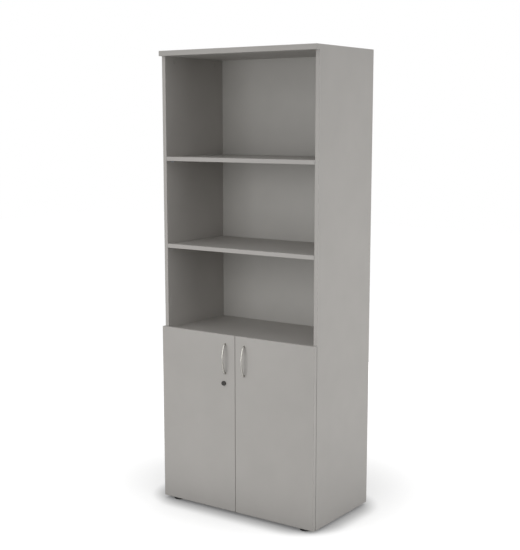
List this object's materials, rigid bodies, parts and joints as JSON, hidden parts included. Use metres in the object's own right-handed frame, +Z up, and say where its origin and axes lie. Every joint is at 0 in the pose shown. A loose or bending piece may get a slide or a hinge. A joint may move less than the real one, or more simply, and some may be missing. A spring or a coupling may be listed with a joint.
{
  "type": "bookcase with cabinet doors",
  "caption": "Tall light-grey bookcase with open shelves above a lockable cabinet; its hinged doors have bow handles and open on concealed hinges.",
  "frame": {"origin": "on the floor, at the middle of the width and of the depth with the handles", "axes": "+Z up, +X to the right seen from the front, +Y from the doors to the back"},
  "size_m": [0.8, 0.478, 2],
  "materials": {
    "grey_board": "matte light-grey melamine on chipboard",
    "grey_back": "matte light-grey melamine on thin board",
    "satin_nickel": "satin nickel plate",
    "hinge_steel": "bright nickel plate",
    "zinc_steel": "bright zinc plate",
    "grey_plastic": "matte grey moulded plastic",
    "beech": "raw beech",
    "clear_rubber": "translucent soft plastic",
    "black_plastic": "black moulded plastic"
  },
  "bodies": {
    "carcass": {"left_side": "grey_board", "right_side": "grey_board", "top_panel": "grey_board", "bottom_panel": "grey_board", "fixed_shelf": "grey_board", "back_panel": "grey_back", "upper_shelf": "grey_board", "middle_shelf": "grey_board", "cabinet_shelf": "grey_board", "upper_shelf_supports": "zinc_steel", "middle_shelf_supports": "zinc_steel", "cabinet_shelf_supports": "zinc_steel", "dowels": "beech", "cam_housings": "zinc_steel", "cam_bolts": "zinc_steel", "cam_caps": "grey_plastic", "foot_sockets": "black_plastic", "bolt_bush": "zinc_steel", "left_hinge_plates": "hinge_steel", "right_hinge_plates": "hinge_steel", "hinge_plate_screws": "zinc_steel", "left_hinge_arms": "hinge_steel", "right_hinge_arms": "hinge_steel", "hinge_arm_pins": "hinge_steel", "hinge_arm_screws": "zinc_steel"},
    "lock_plug": {"lock_barrel": "satin_nickel", "lock_tongue": "zinc_steel", "tongue_screw": "zinc_steel"},
    "slide_bolt": {"slide_bolt": "zinc_steel"},
    "left_door": {"left_door": "grey_board", "left_handle": "satin_nickel", "left_handle_screws": "zinc_steel", "left_hinge_cups": "hinge_steel", "left_hinge_cup_pins": "hinge_steel", "left_hinge_cup_screws": "zinc_steel", "left_door_buffers": "clear_rubber", "lock_body": "satin_nickel", "lock_nut": "zinc_steel"},
    "left_links": {"left_hinge_links": "hinge_steel"},
    "left_levers": {"left_hinge_levers": "hinge_steel"},
    "right_door": {"right_door": "grey_board", "right_handle": "satin_nickel", "right_handle_screws": "zinc_steel", "right_hinge_cups": "hinge_steel", "right_hinge_cup_pins": "hinge_steel", "right_hinge_cup_screws": "zinc_steel", "right_door_buffers": "clear_rubber", "bolt_guide": "zinc_steel", "bolt_screws": "zinc_steel"},
    "right_links": {"right_hinge_links": "hinge_steel"},
    "right_levers": {"right_hinge_levers": "hinge_steel"},
    "front_left_foot": {"front_left_foot": "black_plastic"},
    "front_right_foot": {"front_right_foot": "black_plastic"},
    "rear_left_foot": {"rear_left_foot": "black_plastic"},
    "rear_right_foot": {"rear_right_foot": "black_plastic"}
  },
  "joints": [
    {"name": "left_link_turn", "type": "hinge", "parent": "carcass", "child": "left_links", "pos_m": [-0.358, -0.187, 0.407], "axis": [0, 0, -1], "range_deg": [-27.8, 0]},
    {"name": "left_door_swing", "type": "hinge", "parent": "left_links", "child": "left_door", "pos_m": [-0.38775, -0.194, 0.407], "axis": [0, 0, -1], "range_deg": [0, 122.74]},
    {"name": "left_lever_turn", "type": "hinge", "parent": "carcass", "child": "left_levers", "pos_m": [-0.366, -0.189, 0.407], "axis": [0, 0, -1], "range_deg": [-11, 0]},
    {"name": "right_link_turn", "type": "hinge", "parent": "carcass", "child": "right_links", "pos_m": [0.358, -0.187, 0.407], "axis": [0, 0, 1], "range_deg": [-27.8, 0]},
    {"name": "right_door_swing", "type": "hinge", "parent": "right_links", "child": "right_door", "pos_m": [0.38775, -0.194, 0.407], "axis": [0, 0, 1], "range_deg": [0, 122.74]},
    {"name": "right_lever_turn", "type": "hinge", "parent": "carcass", "child": "right_levers", "pos_m": [0.366, -0.189, 0.407], "axis": [0, 0, 1], "range_deg": [-11, 0]},
    {"name": "lock_turn", "type": "hinge", "parent": "left_door", "child": "lock_plug", "pos_m": [-0.058, -0.211, 0.586], "axis": [0, -1, 0], "range_deg": [0, 90]},
    {"name": "bolt_slide", "type": "slide", "parent": "right_door", "child": "slide_bolt", "axis": [0, 0, 1], "range_m": [0, 0.014]},
    {"name": "front_left_foot_height", "type": "slide", "parent": "carcass", "child": "front_left_foot", "axis": [0, 0, -1], "range_m": [0, 0.008]},
    {"name": "front_right_foot_height", "type": "slide", "parent": "carcass", "child": "front_right_foot", "axis": [0, 0, -1], "range_m": [0, 0.008]},
    {"name": "rear_left_foot_height", "type": "slide", "parent": "carcass", "child": "rear_left_foot", "axis": [0, 0, -1], "range_m": [0, 0.008]},
    {"name": "rear_right_foot_height", "type": "slide", "parent": "carcass", "child": "rear_right_foot", "axis": [0, 0, -1], "range_m": [0, 0.008]}
  ],
  "couplings": [
    {"joint": "left_link_turn", "follows": "left_door_swing", "ratio": -0.22601},
    {"joint": "left_lever_turn", "follows": "left_door_swing", "ratio": -0.089087},
    {"joint": "right_link_turn", "follows": "right_door_swing", "ratio": -0.22601},
    {"joint": "right_lever_turn", "follows": "right_door_swing", "ratio": -0.089087}
  ]
}
